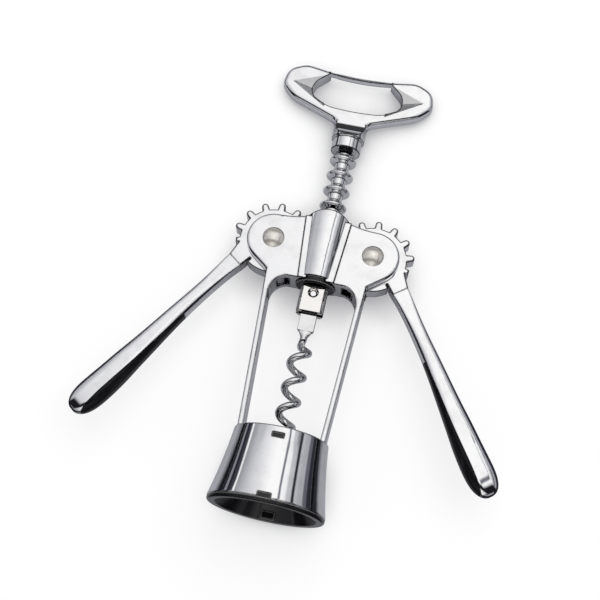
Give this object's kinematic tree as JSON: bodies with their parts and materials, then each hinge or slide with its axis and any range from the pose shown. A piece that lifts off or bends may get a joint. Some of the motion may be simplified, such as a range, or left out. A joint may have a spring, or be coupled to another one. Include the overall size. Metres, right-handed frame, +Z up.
{
  "type": "lever corkscrew",
  "caption": "Wing corkscrew with geared side levers, a round toothed rack, a wire worm in a flared bell and a cap-lifter handle.",
  "frame": {"origin": "on the table, at the middle of the bottom face of the box round the whole tool, which lies on its back", "axes": "+Y toward the handle, +Z up, out of the tool's front, +X to the right of the front view; the screw axis leans down toward the handle by about 6 degrees"},
  "size_m": [0.1688, 0.1944, 0.0462],
  "materials": {
    "chrome_casting": "polished chrome plate on a zinc casting",
    "chrome_handle": "polished chrome plate on a zinc casting",
    "chrome_lever": "polished chrome plate on a zinc casting",
    "chrome_turned": "bright chrome plate on turned steel",
    "dark_chrome": "dark bright plating on hardened wire",
    "satin_steel": "fine satin, warm grey",
    "black_plastic": "glossy black moulding",
    "gloss_black": "high gloss black"
  },
  "bodies": {
    "frame": {"frame_casting": "chrome_casting", "bell_liner": "black_plastic", "guide_bush": "black_plastic", "pivot_rivet_left": "satin_steel", "pivot_rivet_right": "satin_steel", "rivet_cap_left": "satin_steel", "rivet_cap_right": "satin_steel"},
    "rack": {"rack_sleeve": "chrome_turned"},
    "spindle": {"handle": "chrome_handle", "neck_collar": "chrome_turned", "spindle_shaft": "chrome_turned", "worm": "dark_chrome", "worm_rivet": "satin_steel"},
    "lever_left": {"lever_left": "chrome_lever", "inlay_left": "gloss_black"},
    "lever_right": {"lever_right": "chrome_lever", "inlay_right": "gloss_black"}
  },
  "joints": [
    {"name": "rack_slide", "type": "slide", "parent": "frame", "child": "rack", "axis": [0, 0.9946, -0.1041], "range_m": [-0.027, 0.008]},
    {"name": "spindle_turn", "type": "hinge", "parent": "rack", "child": "spindle", "pos_m": [0, 0.01276, 0.01232], "axis": [0, 0.9946, -0.1041], "continuous": true},
    {"name": "lever_left_pivot", "type": "hinge", "parent": "frame", "child": "lever_left", "pos_m": [-0.02046, 0.01276, 0.01232], "axis": [0, 0.1041, 0.9946], "range_deg": [-97.5, 29]},
    {"name": "lever_right_pivot", "type": "hinge", "parent": "frame", "child": "lever_right", "pos_m": [0.02046, 0.01276, 0.01232], "axis": [0, 0.1041, 0.9946], "range_deg": [-29, 97.5]}
  ],
  "couplings": [
    {"joint": "lever_left_pivot", "follows": "rack_slide", "rad_per_m": 62.735},
    {"joint": "lever_right_pivot", "follows": "rack_slide", "rad_per_m": -62.735}
  ]
}
